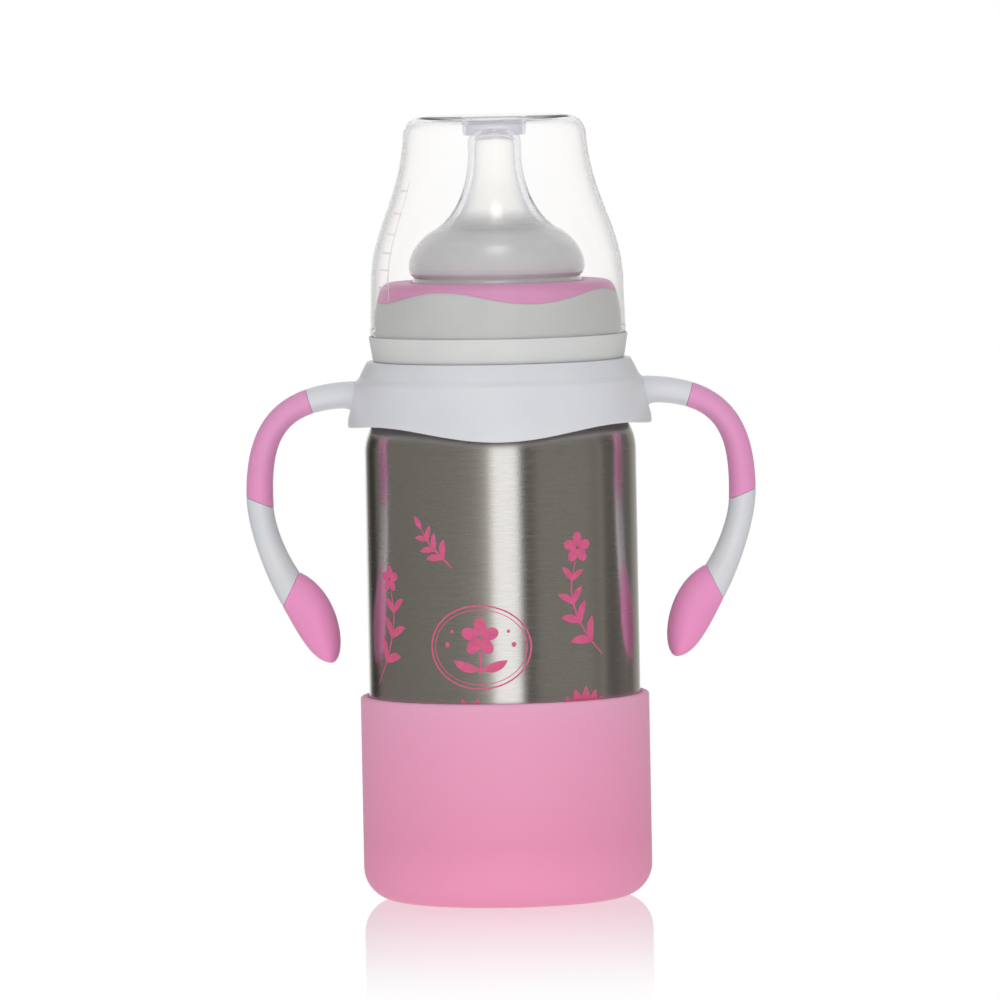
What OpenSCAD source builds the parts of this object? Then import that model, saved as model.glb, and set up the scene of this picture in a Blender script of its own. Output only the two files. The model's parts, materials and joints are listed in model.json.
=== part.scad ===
// Insulated steel baby bottle with a silicone boot, twin handles, teat, screw ring and hood.
// The origin is the centre of the boot's underside, +Z is up and the handles lie along X.

/* [Boot] */
// Outer radius of the silicone boot
boot_r = 35.1; // [34.8:0.1:37]
// Height of the boot's top rim
boot_h = 49.7; // [30:0.5:70]
// Thickness of the boot's floor
boot_floor = 2.2; // [1.5:0.1:4]
// Radius of the boot's bottom edge
boot_edge_r = 8; // [5:0.5:10]
// Radius of the shallow recess under the boot
boot_recess_r = 22; // [10:1:24]
// Depth of the shallow recess under the boot
boot_recess_h = 0.5; // [0.2:0.1:0.8]

/* [Steel body] */
// Outer radius of the steel body
shell_r = 33; // [32:0.1:33.2]
// Thickness of each steel wall
steel_t = 0.5; // [0.4:0.05:0.7]
// Height where the shoulder starts to turn in
shoulder_z = 109; // [95:1:110]
// Radius of the outward bend of the shoulder
shoulder_r = 12; // [10:0.5:13]
// Radius of the bend from the shoulder into the neck
neck_fillet = 3; // [2:0.5:4]
// Radius of the shell's bottom edge
shell_edge_r = 5; // [4:0.5:6]
// Outer radius of the neck
neck_r = 25.7; // [25.4:0.1:25.8]
// Height of the mouth's rim
rim_z = 146.1; // [145.5:0.1:146.1]
// Outer radius of the inner flask
liner_r = 30; // [28:0.5:31]
// Height of the flask's floor above the base, outside
liner_z = 8; // [7.5:0.5:15]
// Radius of the opening in the shell's underside
base_r = 26; // [22:0.5:27]

/* [Thread] */
// Rise of the thread in one turn
pitch = 6; // [5:0.5:7]
// Number of turns on the neck and in the ring
thread_turns = 1.35; // [1:0.05:1.5]
// Height of the thread's crest above its wall
thread_h = 1.4; // [1:0.1:1.5]
// Width of the thread at its foot
thread_w = 2.6; // [2:0.1:2.8]
// Height where the neck's thread begins
thread_z = 133.8; // [133.5:0.1:134.5]

/* [Handle collar] */
// Height of the collar's top face
collar_top = 131.1; // [130:0.1:131.1]
// Radius of the collar's top edge
collar_top_r = 32; // [31:0.1:33]
// Radius of the collar's widest point, near its bottom
collar_r = 37; // [36:0.1:38]
// Mean height of the collar's wavy bottom edge
collar_edge_z = 114.9; // [114:0.1:116]
// Rise of the bottom edge from the front and the back to the handles
collar_rise = 2.4; // [0:0.1:4]
// Rise of the bottom edge to its crests, halfway between front and handles
collar_crest = 2; // [0:0.1:3]
// Thickness of the collar's wall
collar_t = 2.2; // [1.6:0.1:2.6]

/* [Handles] */
// Depth of a handle from front to back
arm_depth = 9; // [7:0.5:11]
// Depth of a handle's tip at its fullest
tip_depth = 13; // [10:0.5:15]
// Thickness of the soft grip skins
grip_t = 1.3; // [0.8:0.1:1.6]

/* [Screw ring] */
// Outer radius of the ring's lip, which the hood rests on
lip_r = 31.4; // [31.2:0.1:32]
// Height of the ring's lip
lip_z = 137.2; // [136:0.1:138]
// Outer radius of the ring above the lip
ring_r = 30; // [29.6:0.1:30]
// Height of the ring's top face
ring_top = 150.2; // [150:0.1:150.4]
// Thickness of the ring's top plate
ring_plate = 2.2; // [1.8:0.1:2.3]
// Radius of the opening that the teat passes through
ring_hole_r = 21; // [20.9:0.1:21.5]
// Thickness of the coloured band on the ring
band_t = 1; // [0.6:0.1:1.2]
// Height of the middle of the band's wavy edge
band_z = 146.9; // [146:0.1:147.2]
// Rise and fall of the band's wavy edge
band_wave = 1.5; // [0:0.1:1.8]
// Number of waves round the band
band_waves = 4; // [3:1:8]

/* [Teat] */
// Radius of the teat's flange, held under the ring
flange_r = 26.6; // [25:0.1:26.8]
// Thickness of the teat's wall at the neck
teat_t = 1.6; // [1.2:0.1:2]
// Height of the teat's tip
teat_top = 187.5; // [185:0.1:187.8]
// Radius of the hole in the tip
teat_hole_r = 0.3; // [0.2:0.05:0.6]

/* [Hood] */
// Outer radius of the hood at its rim
hood_r = 31.05; // [31:0.05:31.3]
// Height of the top of the hood
hood_top = 190.3; // [189.8:0.1:192]
// Thickness of the hood's wall
hood_t = 0.8; // [0.6:0.05:0.85]
// Outer radius of the plug ring that closes round the tip
plug_r = 7.8; // [7.6:0.1:9]
// Length of the plug ring below the top of the hood
plug_h = 4.6; // [4:0.1:6]

/* [Hidden] */

$fn = 96;
// Running clearance between the bottle and the boot
fit = 0.06;
// Small gap between faces that rest on each other
rest_gap = 0.05;
// Overlap that makes cuts and joins clean
eps = 0.2;
// Underside of the steel base
shell_z = boot_floor + 2 * rest_gap;
// Inner radius of the neck, inside the flask
mouth_r = 24;
// Radius of the ring's bore, clear of the neck's thread
bore_r = neck_r + thread_h + 0.4;
// Underside of the ring's top plate
plate_z = ring_top - ring_plate;
// Underside of the hood's rim, just above the lip
hood_z = lip_z + 0.2;
// Underside of the hood's top
hood_ceiling = hood_top - 1;
// Sides of one cross-section of a handle
arm_sides = 20;
// Steps of one turn of the thread
turn_steps = 48;
// Part of the upper handle that is bare, from the collar to the grip
bare_part = 0.25;
// Part of the tip's length that the handle's core reaches into
core_part = 0.45;

// Outer and inner edges of the right handle as three Bezier curves each, in X and Z:
// from the collar to the end of the upper grip, on to the start of the tip, and round the tip
outer_edge = [
    [[34, 126.4], [54.6, 126.4], [61.9, 116.6], [61.9, 98.7]],
    [[61.9, 98.7], [61.9, 90.5], [57.1, 78], [53.6, 71.9]],
    [[53.6, 71.9], [50, 65], [46.5, 58], [42, 58]]];
inner_edge = [
    [[34, 119.9], [52.5, 120.3], [56, 113.2], [55.3, 96]],
    [[55.3, 96], [55.1, 91.6], [52.6, 85], [49.4, 80.2]],
    [[49.4, 80.2], [38.5, 75], [38, 58], [42, 58]]];

// Points on an arc about (x, z), from angle a0 to angle a1
function arc(x, z, r, a0, a1, n = 8) =
    [for (i = [0:n]) let (a = a0 + (a1 - a0) * i / n) [x + r * cos(a), z + r * sin(a)]];

// Point at t, from 0 to 1, on a cubic Bezier curve of four control points
function bezier(p, t) =
    pow(1 - t, 3) * p[0] + 3 * t * pow(1 - t, 2) * p[1] + 3 * t * t * (1 - t) * p[2]
    + pow(t, 3) * p[3];

// Points along a cubic Bezier curve
function curve(p, n = 10) = [for (i = [0:n]) bezier(p, i / n)];

// A list in reverse order
function reversed(list) = [for (i = [len(list) - 1:-1:0]) list[i]];

// Shoulder from a body of radius r0 to a neck of radius r1, with bends of radius b0 and b1
function shoulder(r0, r1, b0, b1) =
    let (
        span = r1 + b1 - r0 + b0,
        rise = sqrt(pow(b0 + b1, 2) - span * span),
        turn = atan2(rise, span))
    concat(
        arc(r0 - b0, shoulder_z, b0, 0, turn),
        arc(r1 + b1, shoulder_z + rise, b1, turn + 180, 180));

// Solid skin over a list of rings of points, closed end to end or capped at both ends
module loft(rings, closed = false) {
    n = len(rings[0]);
    m = len(rings);
    sides = [for (i = [0:m - (closed ? 1 : 2)], j = [0:n - 1])
        [i * n + j, i * n + (j + 1) % n, (i + 1) % m * n + (j + 1) % n, (i + 1) % m * n + j]];
    caps = closed ? [] : [[for (j = [n - 1:-1:0]) j], [for (j = [0:n - 1]) (m - 1) * n + j]];
    polyhedron([for (ring = rings, p = ring) p], concat(sides, caps), convexity = 6);
}

// Wall of revolution between an outer profile and an inner profile, both listed upwards
module wall(outer, inner) {
    rotate_extrude() polygon(concat(outer, reversed(inner)));
}

// Thread ridge on a wall of radius r, pointing outwards (side 1) or inwards (side -1)
module thread(r, z, side) {
    steps = round(thread_turns * turn_steps);
    loft([for (i = [0:steps])
        let (
            a = 360 * i / turn_steps,
            level = z + pitch * i / turn_steps,
            fade = min(1, i / 6 + 0.1, (steps - i) / 6 + 0.1),
            foot = thread_w / 2,
            crest = thread_w * 0.27,
            r0 = r - side * eps,
            r1 = r + side * thread_h * fade)
        [for (p = [[r0, -foot], [r1, -crest], [r1, crest], [r0, foot]])
            [p[0] * cos(a), p[0] * sin(a), level + side * p[1]]]]);
}

// Half the depth of the right handle, front to back, at u from 0 at the collar to 3 at the apex
function half_depth(u) =
    u < 2 ? arm_depth / 2
    : let (
        t = u - 2,
        rise = min(1, t / 0.45),
        swell = rise * rise * (3 - 2 * rise),
        round_off = max(0, (t - 0.35) / 0.65))
        (arm_depth + (tip_depth - arm_depth) * swell) / 2 * sqrt(1 - pow(round_off, 1.6));

// Cross-section of the right handle at u, drawn in by skin on all sides
function arm_section(u, skin = 0) =
    let (
        k = min(2, floor(u)),
        outer = bezier(outer_edge[k], u - k),
        inner = bezier(inner_edge[k], u - k),
        centre = (outer + inner) / 2,
        half = norm(outer - inner) / 2,
        along = (outer - inner) / max(norm(outer - inner), 0.001),
        w = max(0.02, half - skin),
        d = max(0.02, half_depth(u) - skin))
    [for (j = [0:arm_sides - 1])
        let (a = 360 * j / arm_sides)
        [centre[0] + along[0] * w * cos(a), d * sin(a), centre[1] + along[1] * w * cos(a)]];

// Cross-sections from u0 to u1
function arm_run(u0, u1, n, skin = 0) =
    [for (i = [0:n]) arm_section(u0 + (u1 - u0) * i / n, skin)];

// Outside of the collar, filled solid
module collar_outline() {
    rotate_extrude() polygon([
        [0, collar_edge_z - 2.4],
        [collar_r, collar_edge_z - 2.4],
        [collar_r, collar_edge_z + 1],
        [collar_r - 0.5, collar_edge_z + 3],
        [collar_r - 1.9, collar_top - 5.1],
        [collar_top_r + 1.9, collar_top - 3.9],
        [collar_top_r + 1, collar_top - 1.8],
        [collar_top_r, collar_top],
        [0, collar_top]]);
}

// The same, cut along its wavy bottom edge
module collar_body() {
    steps = 96;
    intersection() {
        collar_outline();
        loft([for (i = [0:steps - 1])
            let (
                a = 360 * i / steps,
                low = collar_edge_z + collar_rise / 2 * cos(2 * a) - collar_crest / 2 * cos(4 * a))
            [for (p = [[neck_r, low], [collar_r + 1, low],
                    [collar_r + 1, collar_top + 1], [neck_r, collar_top + 1]])
                [p[0] * cos(a), p[0] * sin(a), p[1]]]], closed = true);
    }
}

// Tenon at a handle's root, wider by gap on all sides
module tenon(gap = 0) {
    translate([collar_r - 4.4 - gap, -3 - gap, 121.2 - gap])
        cube([4, 6 + 2 * gap, 3 + 2 * gap]);
}

// Ring outline of revolution, filled solid from the bore out
module ring_body() {
    wall(
        concat(
            [[lip_r - 1.1, collar_top + rest_gap], [lip_r - 0.8, collar_top + 0.4],
                [lip_r, lip_z - 0.3], [lip_r - 0.2, lip_z], [ring_r, lip_z],
                [ring_r - 0.1, lip_z + 4.8], [ring_r - 0.7, band_z - 1.4]],
            arc(ring_r - 4.4, ring_top - 3.2, 3.2, 15, 90)),
        [[bore_r, collar_top + rest_gap], [bore_r, plate_z], [ring_hole_r, plate_z],
            [ring_hole_r, ring_top]]);
}

// Everything above the band's wavy edge
module above_wave() {
    steps = 96;
    loft([for (i = [0:steps - 1])
        let (a = 360 * i / steps, low = band_z + band_wave * cos(band_waves * (a + 28)))
        [for (p = [[ring_hole_r - 1, low], [ring_r + 1, low],
                [ring_r + 1, ring_top + 1], [ring_hole_r - 1, ring_top + 1]])
            [p[0] * cos(a), p[0] * sin(a), p[1]]]], closed = true);
}

// Core of the ring that the coloured band covers
module ring_core() {
    wall(
        concat(
            [[ring_r - band_t - 0.7, collar_top - 1], [ring_r - band_t - 0.7, band_z - 1.9]],
            arc(ring_r - 4.4, ring_top - 3.2, 3.2 - band_t, 0, 90)),
        [[ring_hole_r - 2, collar_top - 1], [ring_hole_r - 2, ring_top - band_t]]);
}

// Silicone boot that cushions the base
module silicone_boot() {
    color("hotpink") difference() {
        rotate_extrude() polygon(concat(
            [[0, 0]],
            arc(boot_r - boot_edge_r, boot_edge_r, boot_edge_r, -90, 0, 12),
            [[boot_r, boot_h - 0.8]],
            arc(boot_r - 0.8, boot_h - 0.8, 0.8, 0, 90, 4),
            [[shell_r + fit + 0.5, boot_h], [shell_r + fit, boot_h - 0.5]],
            reversed(arc(shell_r + fit - shell_edge_r, boot_floor + shell_edge_r,
                shell_edge_r, -90, 0)),
            [[0, boot_floor]]));
        translate([0, 0, -1]) cylinder(h = 1 + boot_recess_h, r = boot_recess_r);
    }
}

// Outer steel shell with the rolled thread on its neck
module outer_shell() {
    color("silver") union() {
        wall(
            concat(
                [[base_r, shell_z]],
                arc(shell_r - shell_edge_r, shell_z + shell_edge_r, shell_edge_r, -90, 0),
                shoulder(shell_r, neck_r, shoulder_r, neck_fillet),
                [[neck_r, rim_z - steel_t]]),
            concat(
                [[base_r, shell_z + steel_t]],
                arc(shell_r - shell_edge_r, shell_z + shell_edge_r, shell_edge_r - steel_t,
                    -90, 0),
                shoulder(shell_r - steel_t, neck_r - steel_t, shoulder_r - steel_t,
                    neck_fillet + steel_t),
                [[neck_r - steel_t, rim_z - steel_t]]));
        thread(neck_r, thread_z, 1);
    }
}

// Inner steel flask, welded to the shell at the mouth
module inner_flask() {
    color("gainsboro") wall(
        concat(
            [[0, liner_z]],
            arc(liner_r - 8, liner_z + 8, 8, -90, 0),
            shoulder(liner_r, mouth_r + steel_t, 9, 5),
            [[mouth_r + steel_t, rim_z - steel_t], [neck_r, rim_z - steel_t], [neck_r, rim_z]]),
        concat(
            [[0, liner_z + steel_t]],
            arc(liner_r - 8, liner_z + 8, 8 - steel_t, -90, 0),
            shoulder(liner_r - steel_t, mouth_r, 9 - steel_t, 5 + steel_t),
            [[mouth_r, rim_z]]));
}

// Disc that closes the vacuum space, with a raised middle round the pump-out hole
module vacuum_base() {
    z = shell_z + steel_t + rest_gap;
    color("darkgray") rotate_extrude() polygon([
        [base_r + 1.8, z], [base_r + 1.8, z + steel_t], [8.4, z + steel_t], [6.4, z + 2.6],
        [0.8, z + 2.6], [0.8, z + 2.1], [6, z + 2.1], [8, z]]);
}

// Bead that seals the pump-out hole
module vacuum_seal() {
    z = shell_z + steel_t + rest_gap;
    color("dimgray") rotate_extrude() polygon([
        [0, z + 1], [1.6, z + 1], [2.4, z + 1.6], [2.4, z + 2.1], [0.8, z + 2.1],
        [0.8, z + 2.8], [0, z + 2.9]]);
}

// Pellet that binds the last gas in the vacuum space
module getter() {
    z = shell_z + 2 * steel_t + 2 * rest_gap;
    color("slategray") translate([14, 0, z]) cylinder(h = 2, r = 4);
}

// Thin plate that covers the seal on the underside
module base_cover() {
    color("silver") rotate_extrude() polygon([
        [0, shell_z + 0.3], [5, shell_z + 0.3], [5.4, shell_z], [base_r - rest_gap, shell_z],
        [base_r - rest_gap, shell_z + steel_t], [5.7, shell_z + steel_t],
        [5.3, shell_z + 0.3 + steel_t], [0, shell_z + 0.3 + steel_t]]);
}

// Collar that carries both handles and sits on the shoulder of the bottle
module handle_collar() {
    seat_z = shoulder_z + 11.6;
    color("white") difference() {
        collar_body();
        // hollow between the wall and the seat
        wall(
            [[neck_r + 2.6, seat_z - 12], [collar_r - collar_t, seat_z - 12],
                [collar_r - collar_t, collar_edge_z + 2.6], [collar_top_r, collar_top - 5],
                [collar_top_r - 2, collar_top - collar_t]],
            [[neck_r + 2.6, seat_z - 12], [neck_r + 2.6, collar_top - collar_t]]);
        // bore round the neck, opening out over the shoulder
        translate([0, 0, seat_z - 12])
            cylinder(h = 40, r = neck_r + 0.6);
        translate([0, 0, seat_z - 12])
            cylinder(h = 12, r = neck_r + 3);
        for (side = [0, 180]) rotate([0, 0, side]) tenon(rest_gap);
    }
}

// Stiff core of the right handle, with its tenon in the collar
module arm() {
    color("white") union() {
        difference() {
            loft(concat(
                arm_run(0, bare_part, 5),
                arm_run(bare_part, 1, 10, grip_t),
                arm_run(1, 2, 10),
                arm_run(2, 2 + core_part, 5, grip_t + 0.8)));
            collar_outline();
        }
        tenon();
    }
}

// Soft skin on the upper part of the right handle
module upper_grip() {
    color("hotpink") loft(concat(
        arm_run(bare_part + 0.002, 0.998, 10),
        reversed(arm_run(bare_part + 0.002, 0.998, 10, grip_t - rest_gap))), closed = true);
}

// Soft drop-shaped tip of the right handle
module tip_grip() {
    color("hotpink") loft(concat(
        reversed(arm_run(2.002, 2.01 + core_part, 5, grip_t + 0.8 - rest_gap)),
        arm_run(2.002, 2.9, 14),
        arm_run(2.93, 2.98, 2)));
}

module left_handle() { mirror([1, 0, 0]) arm(); }
module right_handle() { arm(); }
module left_upper_grip() { mirror([1, 0, 0]) upper_grip(); }
module right_upper_grip() { upper_grip(); }
module left_tip_grip() { mirror([1, 0, 0]) tip_grip(); }
module right_tip_grip() { tip_grip(); }

// Screw ring with its inner thread, below and inside the coloured band
module screw_ring() {
    color("ivory") union() {
        difference() {
            ring_body();
            difference() {
                above_wave();
                ring_core();
            }
        }
        thread(bore_r, thread_z + pitch / 2, -1);
    }
}

// Coloured band moulded over the top of the ring
module ring_band() {
    color("hotpink") intersection() {
        ring_body();
        difference() {
            above_wave();
            ring_core();
        }
    }
}

// Soft silicone teat with a sealing lip in the mouth
module teat() {
    color("lavender") wall(
        concat(
            [[mouth_r - 1.9, rim_z - 1.5], [mouth_r - 0.3, rim_z - 1.5],
                [mouth_r - 0.3, rim_z + rest_gap], [flange_r, rim_z + rest_gap],
                [flange_r, plate_z - rest_gap], [20.6, plate_z - rest_gap], [20.6, 150.3],
                [20.1, 151.1], [21.1, 152.2]],
            curve([[21.4, 153.3], [21.4, 157.2], [19.05, 160.2], [15.9, 162.3]]),
            curve([[15.4, 162.6], [11, 164.8], [6.6, 171.4], [6.5, 181]]),
            curve([[6.55, 182], [6.55, 186.4], [5.9, teat_top], [teat_hole_r, teat_top]])),
        concat(
            [[mouth_r - 1.9, rim_z - 1.5], [18.8, 149.5], [18.8, 151.5]],
            curve([[19.4, 153.3], [19.4, 156.2], [17.4, 158.6], [14.8, 160.4]]),
            curve([[14.2, 160.8], [9.6, 163], [6.6 - teat_t, 171], [6.5 - teat_t, 181]]),
            curve([[6.55 - teat_t, 182], [6.55 - teat_t, 185], [4, teat_top - 1.7],
                [teat_hole_r, teat_top - 1.7]])));
}

// Clear hood with a plug ring that closes round the teat's tip
module hood() {
    color("lightcyan", 0.4) union() {
        wall(
            concat(
                [[hood_r - 0.3, hood_z], [hood_r, hood_z + 0.3], [hood_r, hood_z + 3.6]],
                curve([[30.7, 148], [31.1, 162.5], [23.8, 168.5], [22.3, 184.6]], 16),
                arc(17.3, hood_top - 5, 5, 8, 90),
                [[0, hood_top]]),
            concat(
                [[hood_r - hood_t, hood_z], [hood_r - hood_t, hood_z + 3.6]],
                curve([[30.7 - hood_t, 148], [31.1 - hood_t, 162.2], [23.9 - hood_t, 168.2],
                    [22.3 - hood_t, 184.6]], 16),
                arc(17.3, hood_top - 5, 5 - hood_t - 0.1, 8, 80),
                [[17.3, hood_ceiling], [0, hood_ceiling]]));
        wall(
            [[plug_r - 0.3, hood_top - plug_h], [plug_r, hood_ceiling + eps]],
            [[plug_r - 1, hood_top - plug_h], [plug_r - 1, hood_ceiling + eps]]);
    }
}

silicone_boot();
outer_shell();
inner_flask();
vacuum_base();
base_cover();
getter();
vacuum_seal();
handle_collar();
left_handle();
right_handle();
left_upper_grip();
right_upper_grip();
left_tip_grip();
right_tip_grip();
screw_ring();
ring_band();
teat();
hood();
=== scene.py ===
"""Looks of the insulated baby bottle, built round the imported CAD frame.

Outlines are in millimetres, in the frame's own axes: +Z is up, +X is the right handle and the
printed front faces -Y. Round pieces are outlines of (radius, height) points turned about Z.
"""
import json
import math

import bmesh
import bpy
from mathutils import Matrix, Vector

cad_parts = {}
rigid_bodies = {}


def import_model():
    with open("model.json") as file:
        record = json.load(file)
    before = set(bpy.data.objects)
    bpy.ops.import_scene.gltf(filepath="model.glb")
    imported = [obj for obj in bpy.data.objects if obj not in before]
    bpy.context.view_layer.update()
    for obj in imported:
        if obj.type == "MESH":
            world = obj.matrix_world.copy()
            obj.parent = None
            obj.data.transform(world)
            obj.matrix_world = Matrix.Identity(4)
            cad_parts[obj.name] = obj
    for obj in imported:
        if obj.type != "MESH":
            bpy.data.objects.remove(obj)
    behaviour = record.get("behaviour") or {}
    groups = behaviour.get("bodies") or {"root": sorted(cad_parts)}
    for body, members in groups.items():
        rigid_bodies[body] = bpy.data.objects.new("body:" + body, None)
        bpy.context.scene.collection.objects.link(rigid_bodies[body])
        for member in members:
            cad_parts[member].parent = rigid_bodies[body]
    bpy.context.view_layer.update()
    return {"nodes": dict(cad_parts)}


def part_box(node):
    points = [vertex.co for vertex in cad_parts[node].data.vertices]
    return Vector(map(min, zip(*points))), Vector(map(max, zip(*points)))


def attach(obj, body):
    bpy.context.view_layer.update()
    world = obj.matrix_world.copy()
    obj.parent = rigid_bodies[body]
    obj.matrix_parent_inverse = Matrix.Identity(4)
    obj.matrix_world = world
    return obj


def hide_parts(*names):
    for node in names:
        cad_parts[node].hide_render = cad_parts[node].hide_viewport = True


MM = 0.001

for stray in list(bpy.data.objects):
    bpy.data.objects.remove(stray)

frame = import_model()


def extent(node):
    """Outer radius, lowest height and highest height of a node, in millimetres."""
    low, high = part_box(node)
    return round(high.x / MM, 2), round(low.z / MM, 2), round(high.z / MM, 2)


# ---------------------------------------------------------------- sizes taken from the frame

BOOT_R, _, BOOT_H = extent("silicone_boot")
SHELL_R, SHELL_Z, SHELL_TOP = extent("outer_shell")
COLLAR_R, COLLAR_LOW, COLLAR_TOP = extent("handle_collar")
LIP_R, RING_Z, _ = extent("screw_ring")
_, _, RING_TOP = extent("ring_band")
_, TEAT_LOW, TEAT_TOP = extent("teat")
HOOD_R, HOOD_Z, HOOD_TOP = extent("hood")
BASE_R, _, _ = extent("base_cover")

# ---------------------------------------------------------------- sizes of the details

TURN_STEPS = 256
STEEL_T = 0.5
NECK_R = 25.7
SHOULDER_Z = 109.0
BOOT_FIT = 0.06
COLLAR_EDGE_Z = COLLAR_LOW + 2.2
COLLAR_RISE = 2.4
COLLAR_CREST = 2.0
LIP_Z = 137.2
RING_R = 30.0
RING_HOLE_R = 21.0
BORE_R = 27.5
PLATE_Z = 148.0
BAND_Z = 146.9
BAND_WAVE = 1.5
BAND_T = 1.0
PITCH = 6.0
THREAD_TURNS = 1.35
THREAD_Z = 133.8
HOOD_T = 0.8
PLUG_R = 7.8
PLUG_Z = 185.7
GRIP_T = 1.3
ARM_DEPTH = 9.0
TIP_DEPTH = 13.0
BARE_PART = 0.25
CORE_PART = 0.45
INK_T = 0.03


# ---------------------------------------------------------------- outlines

def arc(x, z, radius, start, end, steps=10):
    """Points on an arc about (x, z), between two angles in degrees."""
    angles = [math.radians(start + (end - start) * i / steps) for i in range(steps + 1)]
    return [(x + radius * math.cos(a), z + radius * math.sin(a)) for a in angles]


def bezier(points, t):
    """Point at t, from 0 to 1, on a cubic Bezier curve of four control points."""
    weights = [(1 - t) ** 3, 3 * t * (1 - t) ** 2, 3 * t * t * (1 - t), t ** 3]
    return tuple(sum(w * p[axis] for w, p in zip(weights, points)) for axis in (0, 1))


def curve(points, steps=24):
    """Points along a cubic Bezier curve."""
    return [bezier(points, i / steps) for i in range(steps + 1)]


def rounded(outline, steps=5):
    """A closed outline whose corners given as (r, z, radius) are rounded off."""
    result = []
    for i, corner in enumerate(outline):
        if len(corner) == 2:
            result.append(corner)
            continue
        here = Vector(corner[:2])
        before = Vector(outline[i - 1][:2]) - here
        after = Vector(outline[(i + 1) % len(outline)][:2]) - here
        half = before.angle(after) / 2
        cut = min(corner[2] / math.tan(half), 0.45 * before.length, 0.45 * after.length)
        start = here + before.normalized() * cut
        end = here + after.normalized() * cut
        for k in range(steps + 1):
            t = k / steps
            point = start * (1 - t) ** 2 + here * 2 * t * (1 - t) + end * t * t
            result.append((point.x, point.y))
    return result


def shoulder(r0, r1, bend0, bend1):
    """Points from a wall of radius r0 over the shoulder to a neck of radius r1."""
    span = r1 + bend1 - r0 + bend0
    rise = math.sqrt((bend0 + bend1) ** 2 - span * span)
    turn = math.degrees(math.atan2(rise, span))
    return (arc(r0 - bend0, SHOULDER_Z, bend0, 0, turn, 16)
            + arc(r1 + bend1, SHOULDER_Z + rise, bend1, turn + 180, 180, 8))


def resample(line, start_z, steps):
    """Evenly spaced points on a rising line, from the height start_z to its end."""
    for i in range(len(line) - 1):
        (r0, z0), (r1, z1) = line[i], line[i + 1]
        if z0 <= start_z <= z1 and z1 > z0:
            t = (start_z - z0) / (z1 - z0)
            rest = [Vector((r0 + (r1 - r0) * t, start_z))] + [Vector(p) for p in line[i + 1:]]
            break
    lengths = [0.0]
    for a, b in zip(rest, rest[1:]):
        lengths.append(lengths[-1] + (b - a).length)
    result = []
    k = 0
    for i in range(steps + 1):
        goal = lengths[-1] * i / steps
        while k < len(lengths) - 2 and lengths[k + 1] < goal:
            k += 1
        share = (goal - lengths[k]) / max(lengths[k + 1] - lengths[k], 1e-9)
        point = rest[k].lerp(rest[k + 1], share)
        result.append((point.x, point.y))
    return result


def section_of(line, height):
    """Point of a rising line at one height."""
    for (r0, z0), (r1, z1) in zip(line, line[1:]):
        if z0 <= height <= z1 and z1 > z0:
            t = (height - z0) / (z1 - z0)
            return r0 + (r1 - r0) * t, height
    return line[-1]


# ---------------------------------------------------------------- meshes

def add_mesh(name, points, faces, material, sharp=32):
    """A new object from points in millimetres, closed up, with its normals outwards."""
    mesh = bpy.data.meshes.new(name)
    mesh.from_pydata([Vector(p) * MM for p in points], [], faces)
    work = bmesh.new()
    work.from_mesh(mesh)
    bmesh.ops.remove_doubles(work, verts=work.verts, dist=1e-7)
    loose = [e for e in work.edges if not e.link_faces]
    bmesh.ops.delete(work, geom=loose, context="EDGES")
    bmesh.ops.recalc_face_normals(work, faces=work.faces)
    work.to_mesh(mesh)
    work.free()
    mesh.materials.append(material)
    mesh.shade_smooth()
    mesh.set_sharp_from_angle(angle=math.radians(sharp))
    thing = bpy.data.objects.new(name, mesh)
    bpy.context.scene.collection.objects.link(thing)
    return thing


def turned(name, outline, material, steps=TURN_STEPS):
    """A solid of revolution. The outline is a closed loop of points, or a function of the
    azimuth, in radians from +X, that gives one."""
    points = []
    for i in range(steps):
        a = 2 * math.pi * i / steps
        loop = outline(a) if callable(outline) else outline
        points += [(r * math.cos(a), r * math.sin(a), z) for r, z in loop]
    n = len(points) // steps
    faces = []
    for i in range(steps):
        for j in range(n):
            ring, after = i * n, (i + 1) % steps * n
            faces.append((ring + j, ring + (j + 1) % n, after + (j + 1) % n, after + j))
    return add_mesh(name, points, faces, material)


def lofted(name, rings, material, closed=False, sharp=32):
    """A skin over rings of points, joined end to end if closed and capped if not."""
    n = len(rings[0])
    faces = []
    for i in range(len(rings) - (0 if closed else 1)):
        ring, after = i * n, (i + 1) % len(rings) * n
        for j in range(n):
            faces.append((ring + j, ring + (j + 1) % n, after + (j + 1) % n, after + j))
    if not closed:
        faces.append(tuple(range(n)))
        faces.append(tuple(range((len(rings) - 1) * n, len(rings) * n)))
    return add_mesh(name, [p for ring in rings for p in ring], faces, material, sharp)


def mirrored(thing, name):
    """A copy of a piece on the other side of the YZ plane."""
    mesh = thing.data.copy()
    mesh.name = name
    mesh.transform(Matrix.Scale(-1, 4, (1, 0, 0)))
    mesh.flip_normals()
    twin = bpy.data.objects.new(name, mesh)
    bpy.context.scene.collection.objects.link(twin)
    return twin


def united(thing, other):
    """Joins other into thing as one solid, and removes other."""
    join = thing.modifiers.new("join", "BOOLEAN")
    join.operation = "UNION"
    join.solver = "EXACT"
    join.object = other
    bpy.context.view_layer.update()
    shape = thing.evaluated_get(bpy.context.evaluated_depsgraph_get())
    mesh = bpy.data.meshes.new_from_object(shape)
    thing.modifiers.clear()
    thing.data = mesh
    mesh.shade_smooth()
    mesh.set_sharp_from_angle(angle=math.radians(32))
    bpy.data.objects.remove(other)
    return thing


def place(thing, body, slot, *nodes):
    """Puts a piece on its body and hides the nodes that it stands for. Its slot, the record's
    finish, is not used.
    """
    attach(thing, body)
    if nodes:
        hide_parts(*nodes)
    return thing


# ---------------------------------------------------------------- materials

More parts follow.
